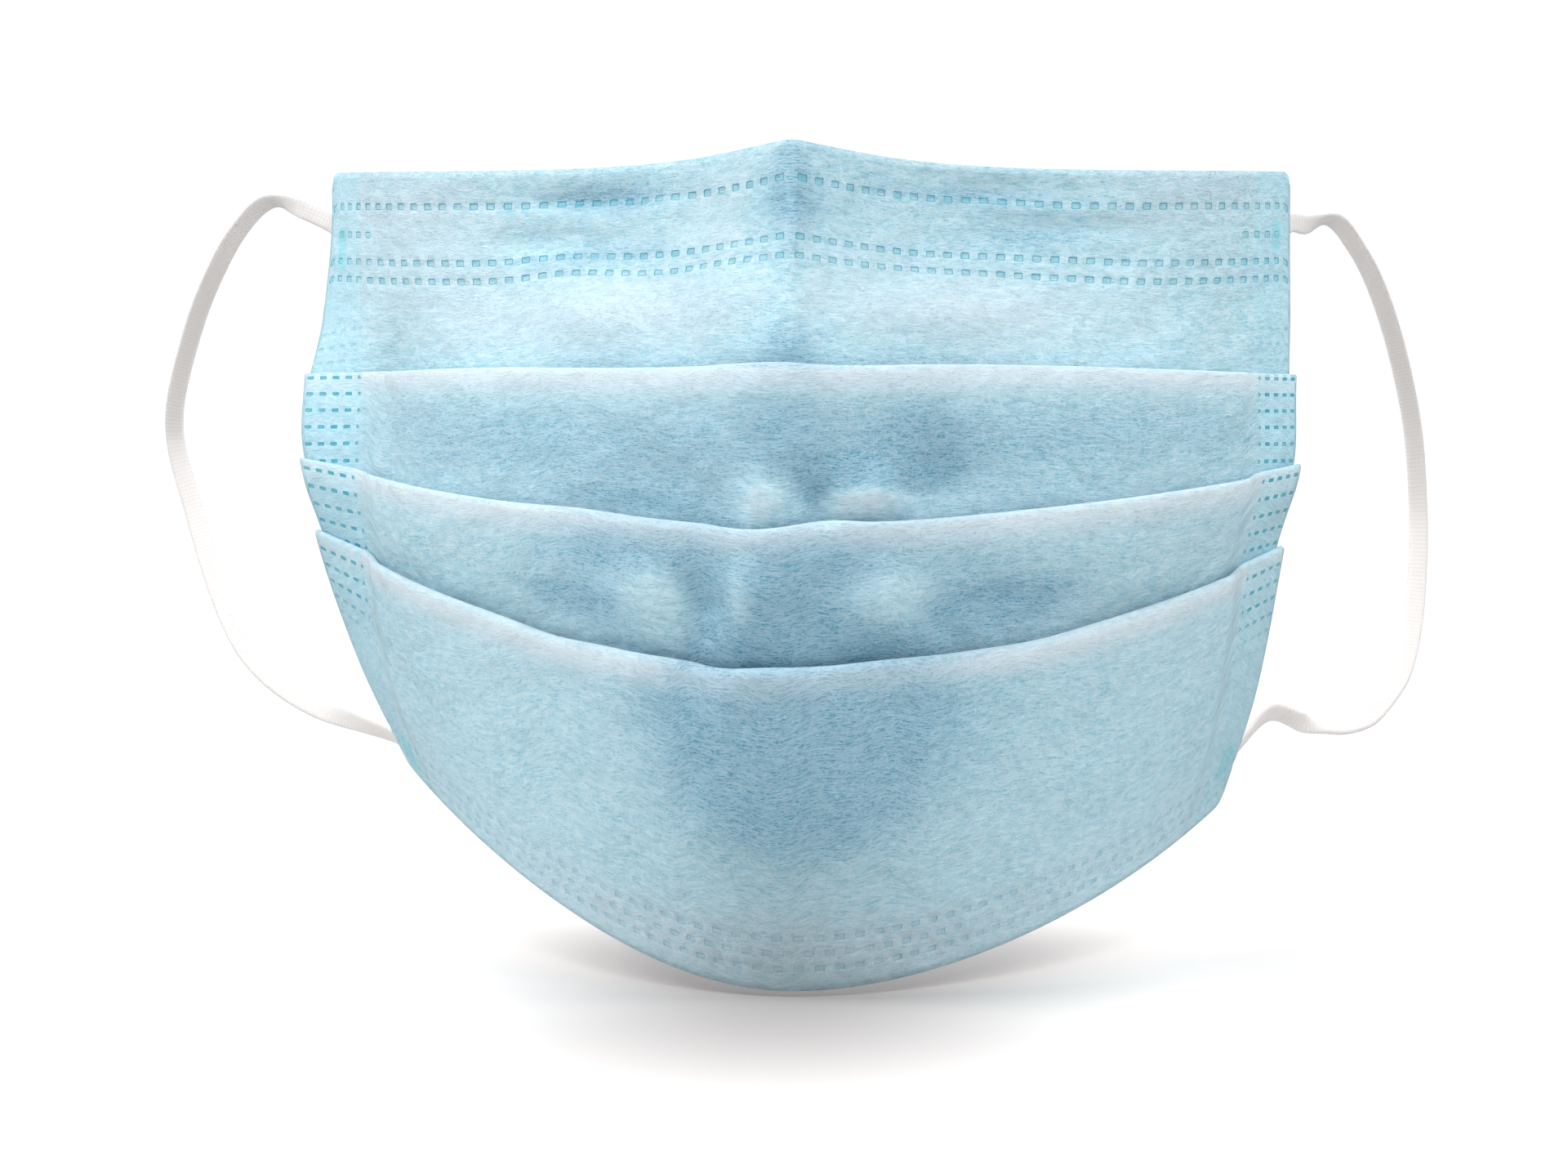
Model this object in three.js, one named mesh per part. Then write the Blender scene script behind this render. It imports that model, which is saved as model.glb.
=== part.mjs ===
// A pleated surgical face mask in the form it takes when worn.
//
// One sheet of bonded cloth is folded into three pleats and wrapped round an unseen face,
// and two flat elastic ear loops are welded to the inside of its corners.
// Units are millimetres. X runs across the face, -Y points forward, away from the face, and +Z is up.
// The origin is where the inside of the top hem sits on the bridge of the nose.

import * as THREE from 'three';

// Driving dimensions of the sheet.
const SHEET_WIDTH = 175; // flat, from side edge to side edge
const CLOTH = 1; // the bonded plies together
const TOP_HEM = 17.5; // the outer ply folds over the top edge this far down
const BOTTOM_HEM = 10;
const HEM_EXTRA = 0.3; // the folded ply stands this far inside the plain cloth
const HEM_STEP = 0.4; // the run over which the hem's edge fades into the cloth
const SIDE_WELD = 10; // the pleats are pressed flat in a band this wide at each side
const WELD_RELEASE = 4; // the run over which the pleats open beside that band

// Pleats: each is a fold whose edge faces up, over the panel above it.
const TUCK_SIDE = 0.8; // a pleat's depth at the side edges, as a share of the shortest middle panel
const TUCK_MIDDLE = 0.36; // the same in the middle, where the worn mask draws the pleats open
const PLEAT_GAP = 0.3; // between pressed layers
const PLEAT_OPENING = 0.9; // extra gap in the middle of the mask

// Driving dimensions of the face form that the sheet wraps round.
const FACE_HEIGHT = 114; // from the peak over the nose to the lowest point under the chin
const FACE_HALF = 72; // from the middle to the cheeks
const FACE_DEPTH = 50; // from the bridge of the nose back to the cheeks
const NOSE_SEAT = 9; // from the peak of the top edge down to the seat on the bridge

// Ear loops.
const BAND_WIDTH = 3;
const BAND_THICKNESS = 1;
const WELD_CLEARANCE = 0.3; // between a band's end and the sheet
const LOOP_HEIGHT = 80; // from the sheet's top corner down to the loop's lower stretch
const LOOP_REACH = 51; // how far behind the sheet's corner a loop goes round the ear
const LOOP_SPREAD = 30; // how far outside the sheet's corner it goes

// Rows of the face form, from the top edge (at 0) by the three fold edges (1, 2 and 3) to the bottom edge (4).
// Lengths are shares: drop, peak, rise and lift of FACE_HEIGHT, and half of FACE_HALF.
// drop: how far the row lies under the peak. peak: how much the row lifts over the nose, and rise how much it
// lifts towards the cheeks, with power bow. half: breadth. lift: how much higher the left cheek lies.
// slim: how much narrower the left half is.
const ROWS = [
  { at: 0.0, drop: 0.034, peak: 0.034, rise: 0.008, bow: 2.0, half: 0.953, lift: 0.0, slim: 0.0 },
  { at: 0.4, drop: 0.12, peak: 0.03, rise: 0.008, bow: 2.0, half: 0.95, lift: 0.0, slim: 0.0 },
  { at: 0.75, drop: 0.21, peak: 0.01, rise: 0.0, bow: 2.0, half: 0.95, lift: 0.0, slim: 0.015 },
  { at: 1.0, drop: 0.268, peak: 0.0, rise: -0.015, bow: 2.0, half: 0.952, lift: 0.0, slim: 0.03 },
  { at: 2.0, drop: 0.443, peak: 0.0, rise: 0.05, bow: 1.8, half: 0.962, lift: 0.0, slim: 0.035 },
  { at: 3.0, drop: 0.6, peak: 0.0, rise: 0.108, bow: 2.0, half: 0.942, lift: 0.018, slim: -0.02 },
  { at: 3.5, drop: 0.82, peak: 0.0, rise: 0.145, bow: 2.0, half: 0.897, lift: 0.035, slim: 0.0 },
  { at: 4.0, drop: 1.0, peak: 0.0, rise: 0.172, bow: 2.0, half: 0.844, lift: 0.05, slim: 0.012 },
];
const PEAK_WIDTH = 0.2; // of the half breadth: the peak over the nose
const PEAK_ROUND = 0.05; // of the half breadth: roundness of that peak

// How the same rows turn back from the middle. Depths are shares of FACE_DEPTH, and breadths of the half breadth.
// forward: how far the middle stands before the bridge of the nose. nose: depth of the fall beside the nose,
// most of it within the breadth spread, with a middle as round as ridge. cheek: depth of the even slope across
// the cheeks. turn: depth of the turn at the cheeks' edge. pressed: how much the left cheek has, in its place,
// a shoulder that turns just inside the weld band and lets the band face forward.
const TURNS = [
  { at: 0.0, forward: -0.02, nose: 0.38, spread: 0.22, ridge: 0.06, cheek: 0.14, turn: 0.45, pressed: 0.0 },
  { at: 0.4, forward: 0.04, nose: 0.42, spread: 0.25, ridge: 0.07, cheek: 0.14, turn: 0.42, pressed: 0.0 },
  { at: 0.75, forward: 0.17, nose: 0.52, spread: 0.35, ridge: 0.1, cheek: 0.16, turn: 0.36, pressed: 0.4 },
  { at: 1.0, forward: 0.25, nose: 0.57, spread: 0.45, ridge: 0.13, cheek: 0.18, turn: 0.35, pressed: 1.0 },
  { at: 2.0, forward: 0.34, nose: 0.62, spread: 0.6, ridge: 0.2, cheek: 0.2, turn: 0.35, pressed: 1.0 },
  { at: 3.0, forward: 0.36, nose: 0.7, spread: 0.7, ridge: 0.3, cheek: 0.32, turn: 0.33, pressed: 0.9 },
  { at: 3.5, forward: 0.27, nose: 0.8, spread: 0.9, ridge: 0.35, cheek: 0.42, turn: 0.33, pressed: 0.1 },
  { at: 4.0, forward: 0.1, nose: 0.9, spread: 1.1, ridge: 0.4, cheek: 0.6, turn: 0.33, pressed: 0.0 },
];
const TURN_POWER = 5;
const WELD_SHARE = 0.87; // where the left weld band starts, as a share of the half breadth
const SHOULDER = 0.23; // depth of the shoulder there, as a share of FACE_DEPTH
const SHOULDER_POWER = 7;
const SHOULDER_RUN = 0.34; // how fast the band falls back past it

// The main bulges and dents. across and wide: place and half width, as shares of half the sheet's width.
// at and tall: the same down the form, in rows. high: how far it stands out, as a share of FACE_DEPTH.
const BULGES = [
  { across: -0.36, at: 0.74, wide: 0.13, tall: 0.14, high: 0.05 },
  { across: -0.12, at: 0.7, wide: 0.08, tall: 0.16, high: 0.03 },
  { across: 0.27, at: 0.74, wide: 0.15, tall: 0.15, high: 0.05 },
  { across: -0.42, at: 0.17, wide: 0.13, tall: 0.07, high: -0.026 },
  { across: -0.46, at: 0.4, wide: 0.12, tall: 0.06, high: -0.022 },
  { across: 0.37, at: 0.12, wide: 0.13, tall: 0.06, high: -0.022 },
  { across: 0.5, at: 0.32, wide: 0.14, tall: 0.05, high: -0.02 },
  { across: 0.14, at: 1.82, wide: 0.06, tall: 0.16, high: 0.036 },
  { across: 0.26, at: 1.7, wide: 0.055, tall: 0.2, high: -0.036 },
  { across: -0.2, at: 1.8, wide: 0.09, tall: 0.2, high: -0.018 },
  { across: -0.25, at: 2.72, wide: 0.055, tall: 0.3, high: 0.032 },
  { across: -0.14, at: 2.7, wide: 0.036, tall: 0.3, high: -0.044 },
  { across: 0.16, at: 2.7, wide: 0.06, tall: 0.25, high: 0.036 },
  { across: 0.34, at: 2.78, wide: 0.1, tall: 0.2, high: -0.028 },
];

// Where the band's ends lie on the inside of the sheet. in: from the side edge, as a share of SIDE_WELD.
// along: down from the top corner or up from the bottom corner, as a share of that hem's depth.
// The last row of each is just past the side edge.
const UPPER_WELD = [
  { in: 0.9, along: 0.62 },
  { in: 0.55, along: 0.58 },
  { in: 0.2, along: 0.5 },
  { in: -0.24, along: 0.42 },
];
const LEFT_LOWER_WELD = [
  { in: 1.2, along: 0.5 },
  { in: 0.75, along: 0.42 },
  { in: 0.3, along: 0.34 },
  { in: -0.24, along: 0.3 },
];
const RIGHT_LOWER_WELD = [
  { in: 0.9, along: 1.2 },
  { in: 0.55, along: 1.15 },
  { in: 0.2, along: 1.1 },
  { in: -0.24, along: 1.02 },
];

// Free routes of the ear loops, from the upper weld round the ear to the lower weld.
// Shares, from the sheet's top corner: out of LOOP_SPREAD, back of LOOP_REACH, down of LOOP_HEIGHT.
// turned: how far the band's width has turned from upright (0) to level, facing forward (1).
const LEFT_ROUTE = [
  { out: 0.2, back: 0.07, down: 0.06, turned: 0.3 },
  { out: 0.37, back: 0.19, down: 0.048, turned: 0.7 },
  { out: 0.59, back: 0.4, down: 0.1, turned: 1 },
  { out: 0.77, back: 0.58, down: 0.18, turned: 1 },
  { out: 0.95, back: 0.78, down: 0.29, turned: 1 },
  { out: 1.1, back: 0.93, down: 0.445, turned: 1 },
  { out: 1.11, back: 0.97, down: 0.52, turned: 1 },
  { out: 1.01, back: 0.93, down: 0.645, turned: 1 },
  { out: 0.82, back: 0.76, down: 0.81, turned: 1 },
  { out: 0.63, back: 0.58, down: 0.91, turned: 1 },
  { out: 0.43, back: 0.42, down: 0.965, turned: 1 },
  { out: 0.21, back: 0.29, down: 1, turned: 0.8 },
  { out: -0.06, back: 0.15, down: 1.02, turned: 0.4 },
];
const RIGHT_ROUTE = [
  { out: 0.09, back: 0.07, down: 0.094, turned: 0.3 },
  { out: 0.23, back: 0.19, down: 0.083, turned: 0.7 },
  { out: 0.39, back: 0.4, down: 0.14, turned: 1 },
  { out: 0.51, back: 0.58, down: 0.21, turned: 1 },
  { out: 0.64, back: 0.76, down: 0.33, turned: 1 },
  { out: 0.75, back: 0.91, down: 0.49, turned: 1 },
  { out: 0.79, back: 0.97, down: 0.645, turned: 1 },
  { out: 0.79, back: 0.95, down: 0.72, turned: 1 },
  { out: 0.75, back: 0.84, down: 0.86, turned: 1 },
  { out: 0.67, back: 0.69, down: 0.95, turned: 1 },
  { out: 0.57, back: 0.56, down: 0.995, turned: 1 },
  { out: 0.44, back: 0.42, down: 1.03, turned: 1 },
  { out: 0.28, back: 0.29, down: 1.035, turned: 0.8 },
  { out: 0.12, back: 0.18, down: 1.015, turned: 0.5 },
  { out: -0.05, back: 0.11, down: 0.99, turned: 0.2 },
];

const TO_SIDE = SHEET_WIDTH / 2;
const FOLDS = 3;

const lerp = THREE.MathUtils.lerp;
const smooth = (x, from, to) => THREE.MathUtils.smoothstep(x, from, to);

// A table's columns at any row, on a smooth curve through the rows that it names.
function rowAt(table, at) {
  const last = table.length - 1;
  const i = table.findIndex((_, n) => n === last - 1 || at <= table[n + 1].at);
  const [a, b] = [table[i], table[i + 1]];
  const before = table[Math.max(i - 1, 0)];
  const after = table[Math.min(i + 2, last)];
  const span = b.at - a.at;
  const t = (at - a.at) / span;
  const row = {};
  for (const key of Object.keys(a)) {
    const slopeA = (b[key] - before[key]) / (b.at - before.at);
    const slopeB = (after[key] - a[key]) / (after.at - a.at);
    const t2 = t * t;
    const t3 = t2 * t;
    row[key] =
      (2 * t3 - 3 * t2 + 1) * a[key] +
      (t3 - 2 * t2 + t) * span * slopeA +
      (3 * t2 - 2 * t3) * b[key] +
      (t3 - t2) * span * slopeB;
  }
  return row;
}

// A point of the face form: share is 0 in the middle and 1 at the cheek, side is -1 or 1.
function facePoint(row, share, side) {
  const fromRidge = Math.hypot(share, row.ridge) - row.ridge;
  const fall = row.nose * (1 - Math.exp(-fromRidge / row.spread));
  const turn = row.turn * share ** TURN_POWER;
  const bend = SHOULDER * Math.min(share / WELD_SHARE, 1) ** SHOULDER_POWER;
  const shoulder = bend + SHOULDER_RUN * Math.max(share - WELD_SHARE, 0);
  const back = fall + row.cheek * fromRidge + (side < 0 ? lerp(turn, shoulder, row.pressed) : turn);
  const peak = row.peak * Math.exp((PEAK_ROUND - Math.hypot(share, PEAK_ROUND)) / PEAK_WIDTH);
  const left = side < 0 ? smooth(share, 0, 1) : 0;
  const rise = row.rise * share ** row.bow + row.lift * left;
  return new THREE.Vector3(
    side * FACE_HALF * row.half * share * (1 - row.slim * left),
    FACE_DEPTH * (back - row.forward) - CLOTH / 2 - HEM_EXTRA,
    NOSE_SEAT + FACE_HEIGHT * (peak - row.drop + rise),
  );
}

// Rows of the form walked outward from the middle, with the length of cloth used up at each step.
const FORM_ROWS = 120;
const FORM_STEPS = 96;
const FURTHEST_SHARE = 1.2;
const wraps = [-1, 1].map((side) =>
  Array.from({ length: FORM_ROWS + 1 }, (_, n) => {
    const at = (n / FORM_ROWS) * (FOLDS + 1);
    const row = { ...rowAt(ROWS, at), ...rowAt(TURNS, at) };
    const points = [];
    const used = [0];
    for (let i = 0; i <= FORM_STEPS; i++) {
      points.push(facePoint(row, (i / FORM_STEPS) * FURTHEST_SHARE, side));
      if (i) used.push(used[i - 1] + points[i].distanceTo(points[i - 1]));
    }
    return { points, used };
  }),
);

// The form's point at a signed length of cloth from the middle, on one of FORM_ROWS rows.
function wrapped(across, n) {
  const { points, used } = wraps[across < 0 ? 0 : 1][n];
  const want = Math.abs(across);
  let i = used.findIndex((length) => length > want);
  if (i < 1) i = FORM_STEPS;
  const t = (want - used[i - 1]) / (used[i] - used[i - 1]);
  return points[i - 1].clone().lerp(points[i], t);
}

// How far the bulges and dents stand out there.
function bulge(across, n) {
  const at = (n / FORM_ROWS) * (FOLDS + 1);
  return BULGES.reduce((out, each) => {
    const sideways = (across / TO_SIDE - each.across) / each.wide;
    const updown = (at - each.at) / each.tall;
    return out + FACE_DEPTH * each.high * Math.exp(-(sideways ** 2) - updown ** 2);
  }, 0);
}

// One column of the sheet, at a signed length of cloth from the middle. Its folds are lengths down the form,
// and place turns a length down the form and a lift off it into a point.
const BESIDE = 0.5;
function column(across) {
  const points = [];
  const normals = [];
  const down = [0];
  for (let n = 0; n <= FORM_ROWS; n++) {
    const along = wrapped(across + BESIDE, n).sub(wrapped(across - BESIDE, n));
    const fall = wrapped(across, Math.min(n + 1, FORM_ROWS)).sub(wrapped(across, Math.max(n - 1, 0)));
    normals.push(fall.cross(along).normalize());
    points.push(wrapped(across, n).addScaledVector(normals[n], bulge(across, n)));
    if (n) down.push(down[n - 1] + points[n].distanceTo(points[n - 1]));
  }
  const folds = [0, 1, 2, 3, 4].map((at) => down[Math.round((at / (FOLDS + 1)) * FORM_ROWS)]);
  const out = Math.abs(across);
  const open = 1 - smooth(out, TO_SIDE - SIDE_WELD - WELD_RELEASE, TO_SIDE - SIDE_WELD);
  const middle = Math.max(0, 1 - (out / TO_SIDE) ** 2);
  const pitch = CLOTH + PLEAT_GAP + PLEAT_OPENING * open * middle;
  const shortest = Math.min(folds[2] - folds[1], folds[3] - folds[2]);
  const tuck = shortest * lerp(TUCK_SIDE, TUCK_MIDDLE, open * middle);

  // The stack of pleats leans back, so that each panel starts one layer proud and ends one layer under.
  const leans = [0, -1, -3, -5, -6];
  const lean = (s) => {
    const k = Math.min(Math.max(folds.findLastIndex((at) => s >= at), 0), FOLDS);
    return lerp(leans[k], leans[k + 1], (s - folds[k]) / (folds[k + 1] - folds[k]));
  };
  const place = (s, lift) => {
    let i = down.findIndex((length) => length > s);
    if (i < 1) i = s <= 0 ? 1 : FORM_ROWS;
    const t = (s - down[i - 1]) / (down[i] - down[i - 1]);
    const at = points[i - 1].clone().lerp(points[i], t);
    const normal = normals[i - 1].clone().lerp(normals[i], t).normalize();
    return at.addScaledVector(normal, lift + pitch * lean(s));
  };
  return { folds, pitch, tuck, place };
}

// How far a hem's folded ply stands inside the plain cloth.
function hem(s, end) {
  const top = 1 - smooth(s, TOP_HEM, TOP_HEM + HEM_STEP);
  const bottom = smooth(s, end - BOTTOM_HEM - HEM_STEP, end - BOTTOM_HEM);
  return HEM_EXTRA * Math.max(top, bottom);
}

// The closed outline of one column's cloth, as pairs of a length down the form and a lift off it.
// Layers 0, 2, 4 and 6 run down and are the panels. Layers 1, 3 and 5 run back up inside the pleats.
const PANEL_STATIONS = [9, 5, 5, 9];
const RETURN_STATIONS = 3;
const WIDE_ARC = 4;
const TIGHT_ARC = 2;
function outline({ folds, pitch, tuck }) {
  const outer = [];
  const inner = [];
  const half = CLOTH / 2;
  const radius = pitch / 2;
  const spread = (from, to, count) => Array.from({ length: count }, (_, i) => lerp(from, to, i / (count - 1)));
  const layer = (k, stations) => {
    const way = k % 2 ? -1 : 1;
    for (const s of stations) {
      outer.push([s, k * pitch + way * half]);
      inner.push([s, k * pitch - way * (half + hem(s, folds[FOLDS + 1]))]);
    }
  };
  const arc = (side, s, k, r, steps) => {
    const way = k % 2 ? -1 : 1;
    for (let i = 1; i < steps; i++) {
      const angle = (Math.PI * i) / steps - Math.PI / 2;
      side.push([s + way * r * Math.cos(angle), (k + 0.5) * pitch + r * Math.sin(angle)]);
    }
  };
  let top = 0;
  for (let f = 1; f <= FOLDS; f++) {
    const below = 2 * f - 2;
    const bottom = folds[f] + tuck - radius;
    layer(below, spread(top, bottom, PANEL_STATIONS[f - 1]));
    arc(outer, bottom, below, radius - half, TIGHT_ARC);
    arc(inner, bottom, below, radius + half, WIDE_ARC);
    top = folds[f] + radius;
    layer(below + 1, spread(bottom, top, RETURN_STATIONS));
    arc(outer, top, below + 1, radius + half, WIDE_ARC);
    arc(inner, top, below + 1, radius - half, TIGHT_ARC);
  }
  layer(2 * FOLDS, spread(top, folds[FOLDS + 1], PANEL_STATIONS[FOLDS]));
  return [...outer, ...inner.reverse()];
}

// A closed geometry through rings of points, with its ends covered by triangles of the flat sections given.
function loft(rings, sections) {
  const count = rings[0].length;
  const index = [];
  for (let r = 0; r + 1 < rings.length; r++) {
    for (let i = 0; i < count; i++) {
      const j = (i + 1) % count;
      const [a, b, c, d] = [r * count + i, r * count + j, (r + 1) * count + j, (r + 1) * count + i];
      index.push(a, b, c, a, c, d);
    }
  }
  const start = (rings.length - 1) * count;
  for (const [a, b, c] of THREE.ShapeUtils.triangulateShape(sections[0], [])) index.push(a, b, c);
  for (const [a, b, c] of THREE.ShapeUtils.triangulateShape(sections[1], [])) {
    index.push(start + a, start + c, start + b);
  }
  const geometry = new THREE.BufferGeometry();
  const position = rings.flat().flatMap((point) => point.toArray());
  geometry.setAttribute('position', new THREE.Float32BufferAttribute(position, 3));
  geometry.setIndex(index);
  geometry.computeVertexNormals();
  return geometry;
}

// Columns lie closer together over the nose and in the side welds.
const HALF_COLUMNS = 19;
const CROWDING = 1.15;
function columnPlaces() {
  const inside = TO_SIDE - SIDE_WELD - WELD_RELEASE;
  const half = Array.from({ length: HALF_COLUMNS + 1 }, (_, i) => inside * (i / HALF_COLUMNS) ** CROWDING);
  half.push(TO_SIDE - SIDE_WELD, TO_SIDE - SIDE_WELD / 2, TO_SIDE);
  return [...half.slice(1).reverse().map((x) => -x), ...half];
}

function pleatedSheet() {
  const columns = columnPlaces().map(column);
  const outlines = columns.map(outline);
  const rings = columns.map((each, i) => outlines[i].map(([s, lift]) => each.place(s, lift)));
  const flat = (section) => section.map(([s, lift]) => new THREE.Vector2(s, lift));
  const geometry = loft(rings, [flat(outlines[0]), flat(outlines[outlines.length - 1])]);
  const mesh = new THREE.Mesh(geometry, new THREE.MeshStandardMaterial({ color: 0xa9d3e3, roughness: 0.9 }));
  mesh.name = 'pleated_sheet';
  return mesh;
}

// One end of a band on the inside of the sheet, as points and the directions of the band's width there.
function weldedEnd(weld, side, bottom) {
  return weld.map(({ in: inside, along }) => {
    const across = side * (TO_SIDE - inside * SIDE_WELD);
    const { folds, pitch, place } = column(across);
    const s = bottom ? folds[FOLDS + 1] - along * BOTTOM_HEM : along * TOP_HEM;
    const layer = bottom ? 2 * FOLDS : 0;
    const lift = layer * pitch - CLOTH / 2 - HEM_EXTRA - WELD_CLEARANCE - BAND_THICKNESS / 2;
    const down = place(s + BESIDE, lift).sub(place(s, lift)).normalize();
    return { point: place(s, lift), width: bottom ? down.negate() : down };
  });
}

const BAND_STEPS = 60;
function earLoop(name, side, route, lowerWeld) {
  const corner = column(side * TO_SIDE).place(0, 0);
  const upper = weldedEnd(UPPER_WELD, side, false);
  const lower = weldedEnd(lowerWeld, side, true).reverse();
  const level = new THREE.Vector3(-side, 0, 0);
  const free = route.map(({ out, back, down, turned }, i) => {
    const reach = new THREE.Vector3(side * LOOP_SPREAD * out, LOOP_REACH * back, -LOOP_HEIGHT * down);
    const nearer = i < route.length / 2 ? upper[upper.length - 1] : lower[0];
    return { point: corner.clone().add(reach), width: nearer.width.clone().lerp(level, turned) };
  });
  const stations = [...upper, ...free, ...lower];
  const path = new THREE.CatmullRomCurve3(stations.map(({ point }) => point));
  const widths = new THREE.CatmullRomCurve3(stations.map(({ width }) => width));
  const [w, h] = [BAND_WIDTH / 2, BAND_THICKNESS / 2];
  const section = [[w, h], [-w, h], [-w, -h], [w, -h]];
  const rings = Array.from({ length: BAND_STEPS + 1 }, (_, i) => {
    const t = path.getUtoTmapping(i / BAND_STEPS);
    const [at, along] = [path.getPoint(t), path.getTangent(t)];
    const normal = new THREE.Vector3().crossVectors(along, widths.getPoint(t)).normalize();
    const width = new THREE.Vector3().crossVectors(normal, along);
    return section.map(([x, y]) => at.clone().addScaledVector(width, x).addScaledVector(normal, y));
  });
  const flat = section.map(([x, y]) => new THREE.Vector2(y, x));
  const mesh = new THREE.Mesh(loft(rings, [flat, flat]), new THREE.MeshStandardMaterial({ color: 0xf1efee }));
  mesh.name = name;
  return mesh;
}

const mask = new THREE.Group();
mask.add(pleatedSheet());
mask.add(earLoop('ear_loop_left', -1, LEFT_ROUTE, LEFT_LOWER_WELD));
mask.add(earLoop('ear_loop_right', 1, RIGHT_ROUTE, RIGHT_LOWER_WELD));
export default mask;
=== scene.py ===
"""A pleated surgical face mask in the form it takes when worn.

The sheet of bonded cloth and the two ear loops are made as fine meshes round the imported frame.
Lengths are millimetres until a mesh is made, which turns them into metres.
X runs across the face, -Y points forward and +Z is up, as in the frame.
"""

import math

import bpy
import numpy as np
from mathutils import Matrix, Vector


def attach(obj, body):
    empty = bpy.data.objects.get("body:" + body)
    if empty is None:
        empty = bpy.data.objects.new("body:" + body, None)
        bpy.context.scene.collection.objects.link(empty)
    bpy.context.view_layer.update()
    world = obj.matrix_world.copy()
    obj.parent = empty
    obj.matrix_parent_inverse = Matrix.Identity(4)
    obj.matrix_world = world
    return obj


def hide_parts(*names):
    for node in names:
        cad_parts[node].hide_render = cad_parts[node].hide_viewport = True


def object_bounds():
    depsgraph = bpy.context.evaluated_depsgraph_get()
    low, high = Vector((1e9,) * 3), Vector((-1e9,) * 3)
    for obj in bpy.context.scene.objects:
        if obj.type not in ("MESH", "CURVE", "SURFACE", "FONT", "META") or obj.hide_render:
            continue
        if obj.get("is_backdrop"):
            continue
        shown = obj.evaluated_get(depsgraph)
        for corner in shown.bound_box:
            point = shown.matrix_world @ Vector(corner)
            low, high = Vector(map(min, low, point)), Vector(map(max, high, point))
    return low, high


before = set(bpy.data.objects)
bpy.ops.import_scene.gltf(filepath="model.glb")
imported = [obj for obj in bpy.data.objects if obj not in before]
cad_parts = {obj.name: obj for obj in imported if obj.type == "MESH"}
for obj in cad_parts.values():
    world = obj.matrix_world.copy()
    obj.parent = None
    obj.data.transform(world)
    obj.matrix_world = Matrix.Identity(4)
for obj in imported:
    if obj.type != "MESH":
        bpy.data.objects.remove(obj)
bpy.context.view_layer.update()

MM = 0.001

# The sheet, as in the frame.
SHEET_WIDTH = 175.0
TO_SIDE = SHEET_WIDTH / 2
FRAME_CLOTH = 1.0
HEM_EXTRA = 0.3
TOP_HEM = 17.5
BOTTOM_HEM = 10.0
SIDE_WELD = 10.0
WELD_RELEASE = 4.0
TUCK_SIDE = 0.8
TUCK_MIDDLE = 0.36
FOLDS = 3

# The fine sheet's own thickness and the gaps between its layers.
CLOTH = 0.5
LAYER_GAP = 0.12
LAYER_OPENING = 1.5

# The face form, as in the frame.
FACE_HEIGHT = 114.0
FACE_HALF = 72.0
FACE_DEPTH = 50.0
NOSE_SEAT = 9.0
PEAK_WIDTH = 0.2
PEAK_ROUND = 0.05
TURN_POWER = 5
WELD_SHARE = 0.87
SHOULDER = 0.23
SHOULDER_POWER = 7
SHOULDER_RUN = 0.34

COLUMNS = ("at", "drop", "peak", "rise", "bow", "half", "lift", "slim")
ROWS = [
    (0.0, 0.034, 0.034, 0.008, 2.0, 0.953, 0.0, 0.0),
    (0.4, 0.12, 0.03, 0.008, 2.0, 0.95, 0.0, 0.0),
    (0.75, 0.21, 0.01, 0.0, 2.0, 0.95, 0.0, 0.015),
    (1.0, 0.268, 0.0, -0.015, 2.0, 0.952, 0.0, 0.03),
    (2.0, 0.443, 0.0, 0.05, 1.8, 0.962, 0.0, 0.035),
    (3.0, 0.6, 0.0, 0.108, 2.0, 0.942, 0.018, -0.02),
    (3.5, 0.82, 0.0, 0.145, 2.0, 0.897, 0.035, 0.0),
    (4.0, 1.0, 0.0, 0.172, 2.0, 0.844, 0.05, 0.012),
]
TURN_COLUMNS = ("at", "forward", "nose", "spread", "ridge", "cheek", "turn", "pressed")
TURNS = [
    (0.0, -0.02, 0.38, 0.22, 0.06, 0.14, 0.45, 0.0),
    (0.4, 0.04, 0.42, 0.25, 0.07, 0.14, 0.42, 0.0),
    (0.75, 0.17, 0.52, 0.35, 0.1, 0.16, 0.36, 0.4),
    (1.0, 0.25, 0.57, 0.45, 0.13, 0.18, 0.35, 1.0),
    (2.0, 0.34, 0.62, 0.6, 0.2, 0.2, 0.35, 1.0),
    (3.0, 0.36, 0.7, 0.7, 0.3, 0.32, 0.33, 0.9),
    (3.5, 0.27, 0.8, 0.9, 0.35, 0.42, 0.33, 0.1),
    (4.0, 0.1, 0.9, 1.1, 0.4, 0.6, 0.33, 0.0),
]

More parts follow.
